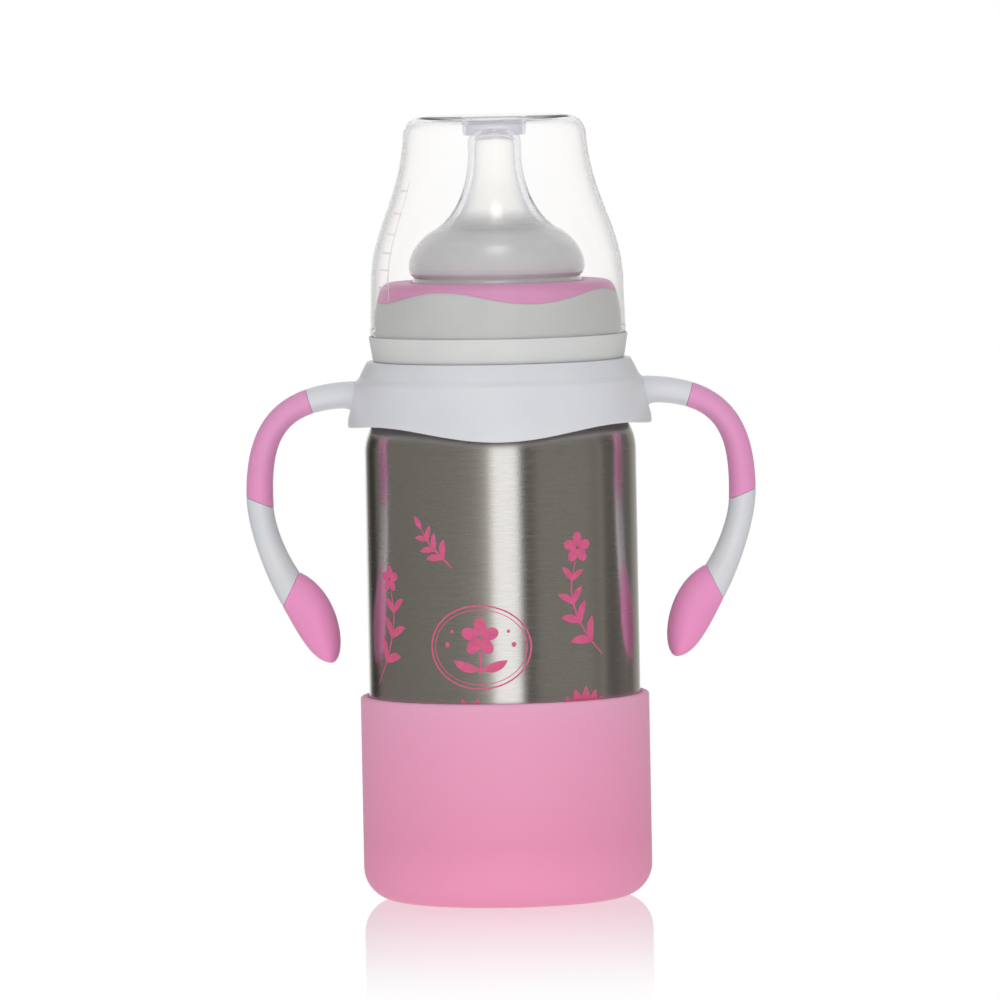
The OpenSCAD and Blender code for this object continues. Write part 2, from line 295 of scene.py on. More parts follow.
def linear(red, green, blue):
    """A colour as a shader wants it, from the usual 0 to 255 values."""
    levels = [v / 255 for v in (red, green, blue)]
    return tuple(v / 12.92 if v <= 0.04045 else ((v + 0.055) / 1.055) ** 2.4
                 for v in levels) + (1.0,)


def surface(name, values):
    """A Principled material with the given values on its sockets."""
    material = bpy.data.materials.new(name)
    material.use_nodes = True
    shader = material.node_tree.nodes["Principled BSDF"]
    for socket, value in values.items():
        shader.inputs[socket].default_value = value
    return material, shader


def grain(material, scale, stretch=(1, 1, 1), detail=3.0, roughness=0.55):
    """Noise in the object's own space; scale is in features per metre, before the stretch."""
    tree = material.node_tree
    place_in = tree.nodes.new("ShaderNodeTexCoord")
    mapping = tree.nodes.new("ShaderNodeMapping")
    mapping.inputs["Scale"].default_value = stretch
    noise = tree.nodes.new("ShaderNodeTexNoise")
    noise.inputs["Scale"].default_value = scale
    noise.inputs["Detail"].default_value = detail
    noise.inputs["Roughness"].default_value = roughness
    tree.links.new(place_in.outputs["Object"], mapping.inputs["Vector"])
    tree.links.new(mapping.outputs["Vector"], noise.inputs["Vector"])
    return noise.outputs["Fac"]


def ranged(material, factor, low, high, socket=None, lowest=0.3, highest=0.7):
    """Spreads a factor between two values, and drives a socket with it."""
    node = material.node_tree.nodes.new("ShaderNodeMapRange")
    node.inputs["From Min"].default_value = lowest
    node.inputs["From Max"].default_value = highest
    node.inputs["To Min"].default_value = low
    node.inputs["To Max"].default_value = high
    material.node_tree.links.new(factor, node.inputs["Value"])
    if socket is not None:
        material.node_tree.links.new(node.outputs["Result"], socket)
    return node.outputs["Result"]


def tones(material, factor, stops, socket=None):
    """Turns a factor into a colour through stops of (place, colour), and drives a socket."""
    ramp = material.node_tree.nodes.new("ShaderNodeValToRGB")
    elements = ramp.color_ramp.elements
    while len(elements) > 1:
        elements.remove(elements[0])
    elements[0].position, elements[0].color = stops[0]
    for position, colour in stops[1:]:
        elements.new(position).color = colour
    material.node_tree.links.new(factor, ramp.inputs["Fac"])
    if socket is not None:
        material.node_tree.links.new(ramp.outputs["Color"], socket)
    return ramp.outputs["Color"]


def bumped(material, shader, factor, strength, depth):
    """Raises the surface by a factor; depth is in metres."""
    node = material.node_tree.nodes.new("ShaderNodeBump")
    node.inputs["Strength"].default_value = strength
    node.inputs["Distance"].default_value = depth
    material.node_tree.links.new(factor, node.inputs["Height"])
    material.node_tree.links.new(node.outputs["Normal"], shader.inputs["Normal"])


def height_factor(material, low, high):
    """0 at the height low and 1 at the height high, both in millimetres."""
    tree = material.node_tree
    place_in = tree.nodes.new("ShaderNodeTexCoord")
    split = tree.nodes.new("ShaderNodeSeparateXYZ")
    tree.links.new(place_in.outputs["Object"], split.inputs["Vector"])
    return ranged(material, split.outputs["Z"], 0, 1, None, low * MM, high * MM)


def matte_silicone():
    """Moulded silicone with a fine eggshell surface, painted brighter at the bottom as bounce light
    from the floor, and a slightly paler top as painted light on the rim.
    """
    material, shader = surface("boot silicone", {
        "IOR": 1.41, "Specular IOR Level": 0.35, "Sheen Weight": 0.08, "Sheen Roughness": 0.5,
        "Subsurface Weight": 0.12, "Subsurface Scale": 0.0012})
    shader.inputs["Subsurface Radius"].default_value = (1.0, 0.5, 0.6)
    # painted light: the base colour is brightest at the floor, painted bounce light from the white
    # floor, and paler near the rim, painted light on the rim
    tones(material, height_factor(material, 0, 50), [
        (0.0, linear(254, 163, 199)), (0.3, linear(240, 153, 189)),
        (0.85, linear(237, 162, 195)), (1.0, linear(234, 168, 198))],
        shader.inputs["Base Color"])
    ranged(material, grain(material, 260), 0.52, 0.62, shader.inputs["Roughness"])
    bumped(material, shader, grain(material, 2600, detail=2), 0.25, 0.00003)
    return material


def soft_touch():
    """Rubbery grip skin, matte, with a very fine tooth, painted lighter towards the bottom as
    bounce light from the floor.
    """
    material, shader = surface("soft grip", {
        "IOR": 1.45, "Specular IOR Level": 0.4, "Sheen Weight": 0.06,
        "Subsurface Weight": 0.08, "Subsurface Scale": 0.001})
    # painted light: the base colour is lighter towards the tips at the bottom, painted bounce light
    # from the floor
    tones(material, height_factor(material, 57, 126), [
        (0.0, linear(243, 150, 202)), (0.3, linear(236, 151, 199)),
        (0.7, linear(229, 152, 198)), (1.0, linear(229, 158, 202))],
        shader.inputs["Base Color"])
    ranged(material, grain(material, 300), 0.42, 0.52, shader.inputs["Roughness"])
    bumped(material, shader, grain(material, 2400, detail=2), 0.2, 0.00003)
    return material


def satin_plastic(name, dark, light, roughness=0.34):
    """Moulded polypropylene: satin, with faint flow clouds and a fine orange peel."""
    material, shader = surface(name, {
        "IOR": 1.49, "Subsurface Weight": 0.1, "Subsurface Scale": 0.0015})
    tones(material, grain(material, 45, detail=2), [(0.35, dark), (0.65, light)],
          shader.inputs["Base Color"])
    ranged(material, grain(material, 220), roughness - 0.04, roughness + 0.04,
           shader.inputs["Roughness"])
    bumped(material, shader, grain(material, 900, detail=2), 0.12, 0.00002)
    return material


def brushed_steel():
    """Stainless steel brushed round the body: the marks run level and spread light upwards."""
    material, shader = surface("brushed steel", {
        "Metallic": 1.0, "Anisotropic": 0.9, "Anisotropic Rotation": 0.25})
    tree = material.node_tree
    tangent = tree.nodes.new("ShaderNodeTangent")
    tangent.direction_type = "RADIAL"
    tangent.axis = "Z"
    tree.links.new(tangent.outputs["Tangent"], shader.inputs["Tangent"])
    marks = grain(material, 300, (1, 1, 11), detail=4, roughness=0.7)
    tones(material, marks, [
        (0.25, (0.57, 0.555, 0.53, 1)), (0.5, (0.62, 0.605, 0.58, 1)),
        (0.75, (0.67, 0.655, 0.63, 1))], shader.inputs["Base Color"])
    ranged(material, grain(material, 90, (1, 1, 30), detail=4), 0.2, 0.28,
           shader.inputs["Roughness"])
    bumped(material, shader, grain(material, 2400, (1, 1, 1.5), detail=2), 0.8, 0.00001)
    return material


def polished_steel():
    """Electropolished steel inside the flask, softly clouded."""
    material, shader = surface("inner steel", {"Metallic": 1.0, "Anisotropic": 0.3})
    clouds = grain(material, 120, detail=4)
    tones(material, clouds, [(0.3, (0.6, 0.6, 0.6, 1)), (0.7, (0.74, 0.74, 0.73, 1))],
          shader.inputs["Base Color"])
    ranged(material, clouds, 0.2, 0.34, shader.inputs["Roughness"])
    bumped(material, shader, grain(material, 700, (1, 1, 4)), 0.1, 0.00001)
    return material


def sintered_metal():
    """Pressed powder pellet."""
    material, shader = surface("getter metal", {"Metallic": 0.8})
    grains = grain(material, 3500, detail=5)
    tones(material, grains, [(0.35, (0.22, 0.225, 0.235, 1)), (0.65, (0.5, 0.51, 0.53, 1))],
          shader.inputs["Base Color"])
    ranged(material, grains, 0.5, 0.8, shader.inputs["Roughness"])
    bumped(material, shader, grains, 0.6, 0.0001)
    return material


def fused_glass():
    """Dark solder glass that seals the pump-out hole."""
    material, shader = surface("seal glass", {"IOR": 1.6, "Coat Weight": 0.4})
    flow = grain(material, 900, detail=3)
    tones(material, flow, [(0.3, (0.06, 0.065, 0.075, 1)), (0.7, (0.2, 0.21, 0.23, 1))],
          shader.inputs["Base Color"])
    ranged(material, flow, 0.08, 0.25, shader.inputs["Roughness"])
    return material


def painted_edge_shade(material, stops, socket):
    """Painted shade on a clear piece: its tint greys as the surface turns edge on, standing
    in for the darker room reflected there. Stops from 0, face on, to 1, edge on."""
    facing = material.node_tree.nodes.new("ShaderNodeLayerWeight")
    tones(material, facing.outputs["Facing"], stops, socket)


def teat_silicone():
    """Silicone, clear and polished at the neck, frosted on the dome and the flange. Its IOR
    is chosen for its looks, and is lower than silicone's own 1.41."""
    material, shader = surface("teat silicone", {
        "IOR": 1.15, "Coat Weight": 0.8, "Coat IOR": 1.45, "Coat Roughness": 0.1})
    tree = material.node_tree
    clear = height_factor(material, 160, 167)
    colour = tree.nodes.new("ShaderNodeMixRGB")
    tree.links.new(clear, colour.inputs["Fac"])
    tree.links.new(colour.outputs["Color"], shader.inputs["Base Color"])
    tones(material, grain(material, 300), [
        (0.3, linear(238, 238, 239)), (0.7, linear(244, 243, 243))], colour.inputs["Color1"])
    # painted shade: the clear neck's base colour greys and blues towards its edges
    painted_edge_shade(material, [
        (0.0, linear(255, 254, 251)), (0.25, linear(250, 249, 248)),
        (0.5, linear(230, 230, 234)), (0.8, linear(204, 205, 215)),
        (1.0, linear(184, 187, 199))], colour.inputs["Color2"])
    ranged(material, clear, 0.45, 1.0, shader.inputs["Transmission Weight"], 0, 1)
    product = tree.nodes.new("ShaderNodeMath")
    product.operation = "MULTIPLY"
    tree.links.new(ranged(material, clear, 0.2, 0.07, None, 0, 1), product.inputs[0])
    tree.links.new(ranged(material, grain(material, 500), 0.85, 1.15), product.inputs[1])
    tree.links.new(product.outputs["Value"], shader.inputs["Roughness"])
    bumped(material, shader, grain(material, 700, detail=2), 0.1, 0.00003)
    return material


def clear_plastic(name, roughness, stops, ior=1.14):
    """Clear plastic with faint ripple, greyed edge on by painted shade. Its IOR is chosen for its
    looks, and is lower than the plastic's own 1.49."""
    material, shader = surface(name, {
        "IOR": ior, "Transmission Weight": 1.0, "Coat Weight": 0.15, "Coat IOR": 1.5,
        "Coat Roughness": 0.12})
    # painted shade: the stops grey the tint as the surface turns edge on
    painted_edge_shade(material, stops, shader.inputs["Base Color"])
    ranged(material, grain(material, 150), roughness * 0.7, roughness * 1.3,
           shader.inputs["Roughness"])
    bumped(material, shader, grain(material, 90, detail=1), 0.05, 0.00005)
    return material


def ink():
    """Pad-printed enamel on the steel, slightly uneven in strength."""
    material, shader = surface("print ink", {"IOR": 1.5, "Specular IOR Level": 0.3})
    tones(material, grain(material, 700, detail=4), [
        (0.3, linear(204, 86, 128)), (0.7, linear(220, 98, 142))], shader.inputs["Base Color"])
    ranged(material, grain(material, 400), 0.4, 0.55, shader.inputs["Roughness"])
    bumped(material, shader, grain(material, 1800, detail=2), 0.2, 0.00001)
    return material


BOOT = matte_silicone()
GRIP = soft_touch()
COLLAR = satin_plastic("collar plastic", linear(216, 218, 222), linear(221, 222, 226))
RING = satin_plastic("ring plastic", linear(213, 214, 213), linear(218, 219, 217), 0.46)
BAND = satin_plastic("band plastic", linear(234, 158, 203), linear(238, 163, 206), 0.38)
STEEL = brushed_steel()
INNER_STEEL = polished_steel()
TEAT = teat_silicone()
# painted shade: the hood's tint greys edge on, down to (190, 194, 200)
HOOD = clear_plastic("hood plastic", 0.04, [
    (0.0, linear(255, 255, 255)), (0.45, linear(254, 253, 252)), (0.6, linear(251, 249, 248)),
    (0.74, linear(232, 231, 231)), (0.88, linear(206, 208, 212)), (1.0, linear(190, 194, 200))])
LID = clear_plastic("hood lid", 0.06, [
    (0.0, linear(252, 252, 252)), (1.0, linear(241, 242, 245))], 1.06)
# painted shade: the plug ring, the hood's own plastic, is tinted greyer face on as well as edge on
PLUG = clear_plastic("hood plug", 0.12, [
    (0.0, linear(236, 235, 238)), (0.6, linear(226, 225, 229)), (1.0, linear(206, 206, 212))], 1.06)
SCALE = clear_plastic("hood scale", 0.35, [
    (0.0, linear(250, 248, 247)), (0.6, linear(247, 243, 242)), (1.0, linear(240, 236, 235))])
INK = ink()


# ---------------------------------------------------------------- boot and steel body

def boot_outline():
    """The boot with its floor, the round bottom edge, the thin rim and the recess below."""
    edge, inner_edge, recess, floor = 8.0, 5.0, 22.0, 2.2
    inside = SHELL_R + BOOT_FIT
    outside = [(recess + 0.4, 0.0)] + arc(BOOT_R - edge, edge, edge, -90, 0, 20)
    rim = arc(BOOT_R - 0.7, BOOT_H - 0.7, 0.7, 0, 90, 6)
    bore = list(reversed(arc(inside - inner_edge, floor + inner_edge, inner_edge, -90, 0, 12)))
    return (outside + rim + [(inside + 0.5, BOOT_H), (inside, BOOT_H - 0.5)] + bore
            + [(0.0, floor), (0.0, 0.5), (recess - 0.4, 0.5), (recess, 0.4)])


def shell_outline():
    """The outer steel wall, from the opening underneath to the mouth."""
    edge, wall_top = 5.0, SHELL_TOP
    low = SHELL_Z
    base = BASE_R + 0.05
    outside = ([(base, low)] + arc(SHELL_R - edge, low + edge, edge, -90, 0, 12)
               + shoulder(SHELL_R, NECK_R, 12, 3) + [(NECK_R, wall_top)])
    inside = ([(base, low + STEEL_T)]
              + arc(SHELL_R - edge, low + edge, edge - STEEL_T, -90, 0, 12)
              + shoulder(SHELL_R - STEEL_T, NECK_R - STEEL_T, 12 - STEEL_T, 3 + STEEL_T)
              + [(NECK_R - STEEL_T, wall_top)])
    return outside + list(reversed(inside))


def thread(name, wall, start, side, material):
    """A rolled thread on a wall, pointing outwards (side 1) or inwards (side -1)."""
    turn, height, width = 96, 1.4, 2.6
    steps = round(THREAD_TURNS * turn)
    rings = []
    for i in range(steps + 1):
        a = 2 * math.pi * i / turn
        level = start + PITCH * i / turn
        fade = min(1, i / 12 + 0.08, (steps - i) / 12 + 0.08)
        ring = []
        for k in range(13):
            t = k / 12 * 2 - 1
            rise = -0.2 if abs(t) == 1 else height * fade * math.cos(t * math.pi / 2) ** 0.6
            r = wall + side * rise
            ring.append((r * math.cos(a), r * math.sin(a), level + t * width / 2 * side))
        rings.append(ring)
    return lofted(name, rings, material)


place(turned("boot", boot_outline(), BOOT), "boot", "boot_silicone", "silicone_boot")
shell = united(turned("steel_body", shell_outline(), STEEL),
               thread("neck_thread", NECK_R, THREAD_Z, 1, STEEL))
place(shell, "bottle", "steel_brushed", "outer_shell")

for node, finish in {"inner_flask": INNER_STEEL, "vacuum_base": INNER_STEEL,
                     "base_cover": STEEL, "getter": sintered_metal(),
                     "vacuum_seal": fused_glass()}.items():
    for slot in frame["nodes"][node].material_slots:
        slot.material = finish


# ---------------------------------------------------------------- collar and handles

def collar_outline(azimuth):
    """The collar's wall, with its wavy bottom edge lowest at the front and the back."""
    low = (COLLAR_EDGE_Z + COLLAR_RISE / 2 * math.cos(2 * azimuth)
           - COLLAR_CREST / 2 * math.cos(4 * azimuth))
    return rounded([
        (34.7, low, 0.3), (COLLAR_R - 0.02, low, 0.7), (COLLAR_R - 0.2, 117.3),
        (36.4, 118.7), (35.15, 125.9, 0.5), (33.95, 127.2, 1.6), (33.0, 129.2, 1.0),
        (32.0, COLLAR_TOP, 0.45), (26.3, COLLAR_TOP, 0.3), (26.3, 120.6, 0.3),
        (28.3, 120.6, 0.3), (28.3, 128.9, 0.5), (30.0, 128.9), (32.0, 126.1), (34.7, 117.5)])


OUTER_EDGE = [
    [(34, 126.4), (54.6, 126.4), (61.9, 116.6), (61.9, 98.7)],
    [(61.9, 98.7), (61.9, 90.5), (57.1, 78), (53.6, 71.9)],
    [(53.6, 71.9), (50, 65), (46.5, 58), (42, 58)]]
INNER_EDGE = [
    [(34, 119.9), (52.5, 120.3), (56, 113.2), (55.3, 96)],
    [(55.3, 96), (55.1, 91.6), (52.6, 85), (49.4, 80.2)],
    [(49.4, 80.2), (38.5, 75), (38, 58), (42, 58)]]


def half_depth(u):
    """Half the handle's depth at u, from 0 at the collar to 3 at the apex of the tip."""
    if u < 2:
        return ARM_DEPTH / 2
    t = u - 2
    rise = min(1, t / 0.45)
    swell = rise * rise * (3 - 2 * rise)
    round_off = max(0, (t - 0.35) / 0.65)
    full = ARM_DEPTH + (TIP_DEPTH - ARM_DEPTH) * swell
    return full / 2 * math.sqrt(max(0, 1 - round_off ** 1.6))


def section(u, skin=0.0, drop=0.0, sides=56):
    """Cross-section of the right handle at u, drawn in by skin on all sides and let down by
    drop on its inner side."""
    k = min(2, int(u))
    outer = Vector(bezier(OUTER_EDGE[k], u - k))
    inner = Vector(bezier(INNER_EDGE[k], u - k))
    centre = (outer + inner) / 2
    along = (outer - inner).normalized()
    wide = max(0.01, (outer - inner).length / 2 - skin)
    deep = max(0.01, half_depth(u) - skin)
    points = []
    for j in range(sides):
        a = 2 * math.pi * j / sides
        p = centre + along * (wide * math.cos(a) + drop * min(0, math.cos(a)))
        points.append((p.x, deep * math.sin(a), p.y))
    return points


def run(u0, u1, steps, skin=0.0):
    """Cross-sections from u0 to u1."""
    return [section(u0 + (u1 - u0) * i / steps, skin) for i in range(steps + 1)]


def speed(u):
    """Length of handle, in millimetres, in one unit of u."""
    def middle(v):
        k = min(2, int(v))
        return (Vector(bezier(OUTER_EDGE[k], v - k)) + Vector(bezier(INNER_EDGE[k], v - k))) / 2
    return (middle(u + 0.005) - middle(u - 0.005)).length / 0.01


def soft_run(u0, u1, steps, edge0=0.22, edge1=0.22):
    """Cross-sections from u0 to u1 with the edges at both ends rounded off."""
    start, end = [], []
    for k in range(5):
        a = math.radians(k * 22.5)
        start.append(section(u0 + edge0 * (1 - math.cos(a)) / speed(u0), edge0 * (1 - math.sin(a))))
        end.append(section(u1 - edge1 * (1 - math.cos(a)) / speed(u1 - 0.01),
                           edge1 * (1 - math.sin(a))))
    inner = run(u0 + 1.3 * edge0 / speed(u0), u1 - 1.3 * edge1 / speed(u1 - 0.01), steps)
    return start + inner + list(reversed(end))


def handle_root():
    """The bare stretch next to the collar, with a fillet below where it leaves the wall."""
    rings = []
    for i in range(25):
        u = 0.012 + (BARE_PART - 0.02) * i / 24
        away = 34 + u * speed(0.01) - 36
        rings.append(section(u, 0, 0.9 * math.exp(-max(0, away) / 0.9)))
    return rings + soft_run(BARE_PART - 0.012, BARE_PART, 1)[-4:]


def handle_core():
    """Stiff core: bare at the root and in the middle, thinner under the two grips."""
    return lofted("handle_core", handle_root()
                  + run(BARE_PART + 0.001, 0.999, 16, GRIP_T)
                  + soft_run(1.0, 2.0, 26)
                  + run(2.001, 2 + CORE_PART, 6, GRIP_T + 0.8), COLLAR)


def upper_grip():
    """Soft skin round the upper part of the core, flush with the bare parts."""
    return lofted("grip", soft_run(BARE_PART + 0.001, 0.999, 34)
                  + list(reversed(run(BARE_PART + 0.001, 0.999, 12, GRIP_T - 0.05))),
                  GRIP, closed=True)


def tip_grip():
    """Drop-shaped soft tip, hollow where the core reaches in."""
    start = soft_run(2.001, 2.2, 8)[:-5]
    drop = [section(3 - 0.8 * (1 - i / 40) ** 1.7, 0) for i in range(40)]
    return lofted("tip", list(reversed(run(2.001, 2.01 + CORE_PART, 6, GRIP_T + 0.75)))
                  + start + drop + [section(2.9995)], GRIP)


place(turned("collar", collar_outline, COLLAR), "collar", "collar_plastic", "handle_collar")
for make, part, finish in ((handle_core, "handle", "collar_plastic"),
                           (upper_grip, "upper_grip", "grip_rubber"),
                           (tip_grip, "tip_grip", "grip_rubber")):
    right = make()
    right.name = "right_" + part + "_skin"
    left = mirrored(right, "left_" + part + "_skin")
    place(right, "collar", finish, "right_" + part)
    place(left, "collar", finish, "left_" + part)


# ---------------------------------------------------------------- screw ring and its band

RING_LINE = ([(RING_R - 0.1, 142.0), (RING_R - 0.7, 145.5)]
             + arc(RING_R - 4.4, RING_TOP - 3.2, 3.2, 15, 90, 30))
CORE_LINE = ([(RING_R - 1.7, 142.0), (RING_R - 1.7, 145.0)]
             + arc(RING_R - 4.4, RING_TOP - 3.2, 3.2 - BAND_T, 0, 90, 24))


def wave(azimuth):
    """Height of the band's wavy edge."""
    return BAND_Z + BAND_WAVE * math.cos(4 * (azimuth + math.radians(28)))


def ring_outline(azimuth):
    """The ring below the wave, and its core under the band."""
    edge = wave(azimuth)
    flange = rounded([
        (BORE_R, RING_Z, 0.2), (LIP_R - 1.1, RING_Z, 0.25), (LIP_R - 0.8, RING_Z + 0.6, 0.5),
        (LIP_R, LIP_Z - 0.35, 0.2), (LIP_R - 0.05, LIP_Z, 0.15), (RING_R + 0.1, LIP_Z, 0.2)])
    wall = section_of(RING_LINE, edge)[0]
    skirt = [(RING_R, LIP_Z + 0.5), (RING_R - 0.05, LIP_Z + 2.4), (RING_R - 0.1, 142.0)]
    rising = [section_of(RING_LINE, 142.0 + (edge - 142.14) * i / 8) for i in range(1, 9)]
    core = resample(CORE_LINE, edge, 16)
    return (flange + skirt + rising + [(wall - 0.05, edge - 0.04), (wall - 0.16, edge)]
            + [(r - 0.02, z - 0.02) for r, z in core]
            + [(RING_HOLE_R, RING_TOP - BAND_T - 0.02), (RING_HOLE_R, PLATE_Z),
               (BORE_R, PLATE_Z)])


def band_outline(azimuth):
    """The coloured band above the wave, over the ring's shoulder to the hole."""
    edge = wave(azimuth)
    outside = resample(RING_LINE, edge + 0.14, 22)
    inside = resample(CORE_LINE, edge, 16)
    wall = section_of(RING_LINE, edge)[0]
    return ([(wall - 0.16, edge), (wall - 0.05, edge + 0.04)] + outside
            + [(RING_HOLE_R + 0.25, RING_TOP), (RING_HOLE_R + 0.05, RING_TOP - 0.07),
               (RING_HOLE_R, RING_TOP - 0.25), (RING_HOLE_R, RING_TOP - BAND_T)]
            + list(reversed(inside)))


ring = united(turned("ring", ring_outline, RING),
              thread("ring_thread", BORE_R, THREAD_Z + PITCH / 2, -1, RING))
place(ring, "ring", "ring_plastic", "screw_ring")
place(turned("band", band_outline, BAND), "ring", "band_plastic", "ring_band")


# ---------------------------------------------------------------- teat and hood

def teat_outline():
    """The teat: sealing lip, flange, groove, dome and tall neck with its tip."""
    outside = rounded([
        (22.1, TEAT_LOW, 0.25), (23.7, TEAT_LOW, 0.25), (23.7, 146.15), (26.6, 146.15, 0.4),
        (26.6, 147.95, 0.4), (20.6, 147.95, 0.2), (20.6, 150.3, 0.5), (20.1, 151.1, 0.4),
        (21.15, 152.2, 0.5), (21.42, 153.4)])
    outside += curve([(21.4, 153.6), (21.4, 157.2), (19.05, 160.2), (15.9, 162.3)], 28)
    outside += curve([(15.4, 162.6), (11, 164.8), (6.6, 171.4), (6.5, 181)], 36)
    outside += curve([(6.52, 182), (6.55, 186.4), (5.9, TEAT_TOP), (0.3, TEAT_TOP)], 24)
    inside = [(18.8, 149.5), (18.8, 151.5)]
    inside += curve([(19.4, 153.3), (19.4, 156.2), (17.4, 158.6), (14.8, 160.4)], 24)
    inside += curve([(14.2, 160.8), (9.6, 163), (5.0, 171), (4.9, 181)], 32)
    inside += curve([(4.95, 182), (4.95, 185), (4, TEAT_TOP - 1.7), (0.3, TEAT_TOP - 1.7)], 16)
    return outside + list(reversed(inside))


HOOD_WALL = curve([(30.7, 148), (31.1, 162.5), (23.8, 168.5), (22.3, 184.6)], 48)


def hood_outline():
    """The hood: rolled rim, bulging wall, tight top corner and the plug ring below the top."""
    outside = rounded([
        (HOOD_R - HOOD_T, HOOD_Z, 0.2), (HOOD_R - 0.25, HOOD_Z, 0.2),
        (HOOD_R, HOOD_Z + 0.4, 0.3), (HOOD_R, HOOD_Z + 1.5, 0.15),
        (HOOD_R - 0.14, HOOD_Z + 1.8, 0.15), (HOOD_R - 0.1, HOOD_Z + 4)])
    outside += HOOD_WALL + arc(17.3, HOOD_TOP - 5, 5, 8, 90, 18) + [(0, HOOD_TOP)]
    ceiling = HOOD_TOP - 1.0
    plug = rounded([
        (0, ceiling), (PLUG_R - 1, ceiling, 0.3), (PLUG_R - 1, PLUG_Z, 0.3),
        (PLUG_R - 0.25, PLUG_Z, 0.25), (PLUG_R, ceiling, 0.4), (17.3, ceiling)])
    inside = list(reversed(arc(17.3, HOOD_TOP - 5, 5 - HOOD_T - 0.1, 8, 80, 16)))
    inside += list(reversed(curve([(30.7 - HOOD_T, 148), (31.1 - HOOD_T, 162.2),
                                   (23.9 - HOOD_T, 168.2), (22.3 - HOOD_T, 184.6)], 48)))
    return outside + plug + inside + [(HOOD_R - HOOD_T, HOOD_Z + 3.6)]


def hood_radius(height):
    """Outer radius of the hood's wall at a height."""
    return section_of([(HOOD_R - 0.1, HOOD_Z + 4)] + HOOD_WALL, height)[0]


def hood_mark(low, high, start, end):
    """Rings of a fine raised mark on the hood, between two azimuths left of the front."""
    steps = max(2, round((end - start) * 1.5))
    rows = max(1, round((high - low) / 0.8))
    rings = []
    for i in range(steps + 1):
        a = math.radians(-90 - (start + (end - start) * i / steps))
        loop = []
        heights = [low + (high - low) * k / rows for k in range(rows + 1)]
        loop += [(hood_radius(z) + 0.005, z) for z in heights]
        loop += [(hood_radius(z) + 0.12, z) for z in reversed(heights)]
        rings.append([(r * math.cos(a), r * math.sin(a), z) for r, z in loop])
    return rings


place(turned("teat_skin", teat_outline(), TEAT), "teat", "teat_silicone", "teat")
hood = turned("hood_shell", hood_outline(), HOOD)
hood_finishes = [HOOD, PLUG, LID]
for finish in hood_finishes[1:]:
    hood.data.materials.append(finish)
for face in hood.data.polygons:
    if face.center.z > (HOOD_TOP - 0.5) * MM:
        face.material_index = hood_finishes.index(LID)
    elif face.center.xy.length < (PLUG_R + 0.3) * MM:
        face.material_index = hood_finishes.index(PLUG)
    elif face.center.z > (HOOD_TOP - 1.5) * MM:
        face.material_index = hood_finishes.index(LID)
place(hood, "hood", "hood_clear", "hood")
for i, height in enumerate((149.4, 153.7, 157.8, 162.3, 167.2, 172.7)):
    mark = lofted(f"hood_mark_{i + 1}", hood_mark(height - 0.22, height + 0.22, 59.5, 68), SCALE)
    place(mark, "hood", "hood_clear")
place(lofted("hood_rib", hood_mark(146, 175, 58.6, 59.4), SCALE), "hood", "hood_clear")


# ---------------------------------------------------------------- printed decoration

def smooth(points, steps=8):
    """A flowing line through a few points, by Catmull-Rom."""
    line = [Vector(p) for p in points]
    line = [2 * line[0] - line[1]] + line + [2 * line[-1] - line[-2]]
    result = []
    for a, b, c, d in zip(line, line[1:], line[2:], line[3:]):
        for k in range(steps):
            t = k / steps
            result.append(0.5 * (2 * b + (c - a) * t + (2 * a - 5 * b + 4 * c - d) * t * t
                                 + (3 * b - a - 3 * c + d) * t ** 3))
    return result + [line[-2]]


